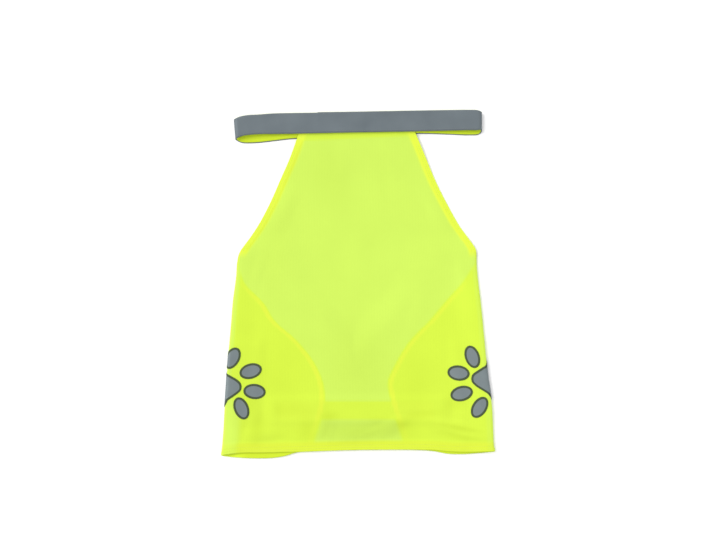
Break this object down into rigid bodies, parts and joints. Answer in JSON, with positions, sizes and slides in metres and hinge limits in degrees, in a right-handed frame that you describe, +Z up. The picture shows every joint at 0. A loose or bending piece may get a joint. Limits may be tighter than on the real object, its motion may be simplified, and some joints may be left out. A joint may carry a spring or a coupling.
{
  "type": "dog safety vest",
  "caption": "Sleeveless high-visibility dog vest laid flat: knit back panel, belly wings wrapped under, reflective neck loop, belly strap and paw print patches over the side folds.",
  "frame": {"origin": "on the table, under the middle of the box of the vest as it lies flat", "axes": "+Y along the back towards the neck, +X across to the right side fold seen from above, +Z up out of the back panel"},
  "size_m": [0.3324, 0.4218, 0.0084],
  "materials": {
    "fluorescent_knit": "fluorescent yellow polyester knit, matt",
    "strap_webbing": "fluorescent yellow strap, matt",
    "hook_and_loop": "fluorescent yellow hook and loop strap",
    "reflective_tape": "grey retroreflective tape, fine glass bead face",
    "reflective_film": "grey retroreflective film with a dark border"
  },
  "bodies": {
    "root": {"body_cloth": "fluorescent_knit", "neck_strap": "strap_webbing", "neck_tape": "reflective_tape", "belly_strap": "hook_and_loop", "paw_left_pad": "reflective_film", "paw_left_toe_1": "reflective_film", "paw_left_toe_2": "reflective_film", "paw_left_toe_3": "reflective_film", "paw_left_toe_4": "reflective_film", "paw_right_pad": "reflective_film", "paw_right_toe_1": "reflective_film", "paw_right_toe_2": "reflective_film", "paw_right_toe_3": "reflective_film", "paw_right_toe_4": "reflective_film"}
  },
  "joints": []
}
